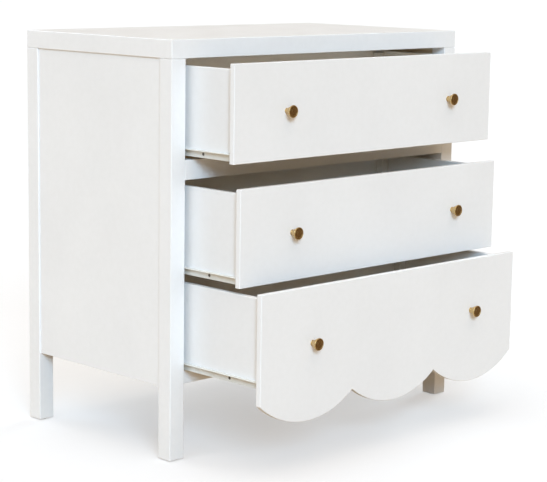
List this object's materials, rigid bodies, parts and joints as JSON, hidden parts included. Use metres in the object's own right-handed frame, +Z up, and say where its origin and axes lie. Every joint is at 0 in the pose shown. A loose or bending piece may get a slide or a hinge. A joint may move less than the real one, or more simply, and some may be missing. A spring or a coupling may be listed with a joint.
{
  "type": "chest of drawers",
  "caption": "White painted dresser: slab top on square legs, framed side panels, flush drawers on roller slides, scalloped lowest front and turned brass knobs.",
  "frame": {"origin": "on the floor, midway across the width and midway between the back of the case and the knobs of the bottom drawer as it stands open at rest", "axes": "+X to the right seen from the front, +Y towards the back of the case (the drawers open along -Y), +Z up"},
  "size_m": [0.82, 0.6704, 0.81],
  "materials": {
    "white_paint": "satin white lacquer",
    "box_paint": "matt white lacquer",
    "bare_wood": "bare planed wood",
    "panel_board": "thin bare board",
    "slide_steel": "white epoxy coat",
    "roller_nylon": "moulded nylon",
    "knob_brass": "antique brushed",
    "zinc_screw": "zinc plated",
    "glide_plastic": "matt"
  },
  "bodies": {
    "case": {"top_slab": "white_paint", "leg_front_left": "white_paint", "leg_front_right": "white_paint", "leg_rear_left": "white_paint", "leg_rear_right": "white_paint", "side_panel_left": "white_paint", "side_panel_right": "white_paint", "back_panel": "panel_board", "drawer_rail": "white_paint", "bottom_front_rail": "white_paint", "bottom_rear_rail": "white_paint", "top_rear_rail": "white_paint", "top_battens": "bare_wood", "runner_battens_left": "bare_wood", "runner_battens_right": "bare_wood", "foot_glides": "glide_plastic", "back_panel_screws": "zinc_screw", "cabinet_slides_top": "slide_steel", "cabinet_slides_middle": "slide_steel", "cabinet_slides_bottom": "slide_steel", "cabinet_slide_screws": "zinc_screw"},
    "top_drawer": {"drawer_front_top": "white_paint", "box_side_left_top": "box_paint", "box_side_right_top": "box_paint", "box_back_top": "box_paint", "box_base_top": "panel_board", "corner_blocks_top": "box_paint", "drawer_slides_top": "slide_steel", "slide_screws_top": "zinc_screw", "knob_left_top": "knob_brass", "knob_right_top": "knob_brass", "knob_screws_top": "zinc_screw"},
    "cabinet_rollers_top": {"cabinet_rollers_top": "roller_nylon"},
    "drawer_rollers_top": {"drawer_rollers_top": "roller_nylon"},
    "middle_drawer": {"drawer_front_middle": "white_paint", "box_side_left_middle": "box_paint", "box_side_right_middle": "box_paint", "box_back_middle": "box_paint", "box_base_middle": "panel_board", "corner_blocks_middle": "box_paint", "drawer_slides_middle": "slide_steel", "slide_screws_middle": "zinc_screw", "knob_left_middle": "knob_brass", "knob_right_middle": "knob_brass", "knob_screws_middle": "zinc_screw"},
    "cabinet_rollers_middle": {"cabinet_rollers_middle": "roller_nylon"},
    "drawer_rollers_middle": {"drawer_rollers_middle": "roller_nylon"},
    "bottom_drawer": {"drawer_front_bottom": "white_paint", "box_side_left_bottom": "box_paint", "box_side_right_bottom": "box_paint", "box_back_bottom": "box_paint", "box_base_bottom": "panel_board", "corner_blocks_bottom": "box_paint", "drawer_slides_bottom": "slide_steel", "slide_screws_bottom": "zinc_screw", "knob_left_bottom": "knob_brass", "knob_right_bottom": "knob_brass", "knob_screws_bottom": "zinc_screw"},
    "cabinet_rollers_bottom": {"cabinet_rollers_bottom": "roller_nylon"},
    "drawer_rollers_bottom": {"drawer_rollers_bottom": "roller_nylon"}
  },
  "joints": [
    {"name": "top_drawer_slide", "type": "slide", "parent": "case", "child": "top_drawer", "axis": [0, -1, 0], "range_m": [-0.1295, 0.0955]},
    {"name": "cabinet_rollers_top_spin", "type": "hinge", "parent": "case", "child": "cabinet_rollers_top", "pos_m": [0, -0.08675, 0.5965], "axis": [1, 0, 0], "range_deg": [-1250, 930]},
    {"name": "drawer_rollers_top_spin", "type": "hinge", "parent": "top_drawer", "child": "drawer_rollers_top", "pos_m": [0, 0.06375, 0.5965], "axis": [1, 0, 0], "range_deg": [-1250, 930]},
    {"name": "middle_drawer_slide", "type": "slide", "parent": "case", "child": "middle_drawer", "axis": [0, -1, 0], "range_m": [-0.149, 0.076]},
    {"name": "cabinet_rollers_middle_spin", "type": "hinge", "parent": "case", "child": "cabinet_rollers_middle", "pos_m": [0, -0.08675, 0.3685], "axis": [1, 0, 0], "range_deg": [-1440, 740]},
    {"name": "drawer_rollers_middle_spin", "type": "hinge", "parent": "middle_drawer", "child": "drawer_rollers_middle", "pos_m": [0, 0.04425, 0.3685], "axis": [1, 0, 0], "range_deg": [-1440, 740]},
    {"name": "bottom_drawer_slide", "type": "slide", "parent": "case", "child": "bottom_drawer", "axis": [0, -1, 0], "range_m": [-0.2075, 0.0175]},
    {"name": "cabinet_rollers_bottom_spin", "type": "hinge", "parent": "case", "child": "cabinet_rollers_bottom", "pos_m": [0, -0.08675, 0.1805], "axis": [1, 0, 0], "range_deg": [-2000, 180]},
    {"name": "drawer_rollers_bottom_spin", "type": "hinge", "parent": "bottom_drawer", "child": "drawer_rollers_bottom", "pos_m": [0, -0.01425, 0.1805], "axis": [1, 0, 0], "range_deg": [-2000, 180]}
  ],
  "couplings": [
    {"joint": "cabinet_rollers_top_spin", "follows": "top_drawer_slide", "rad_per_m": 166.67},
    {"joint": "drawer_rollers_top_spin", "follows": "top_drawer_slide", "rad_per_m": 166.67},
    {"joint": "cabinet_rollers_middle_spin", "follows": "middle_drawer_slide", "rad_per_m": 166.67},
    {"joint": "drawer_rollers_middle_spin", "follows": "middle_drawer_slide", "rad_per_m": 166.67},
    {"joint": "cabinet_rollers_bottom_spin", "follows": "bottom_drawer_slide", "rad_per_m": 166.67},
    {"joint": "drawer_rollers_bottom_spin", "follows": "bottom_drawer_slide", "rad_per_m": 166.67}
  ]
}
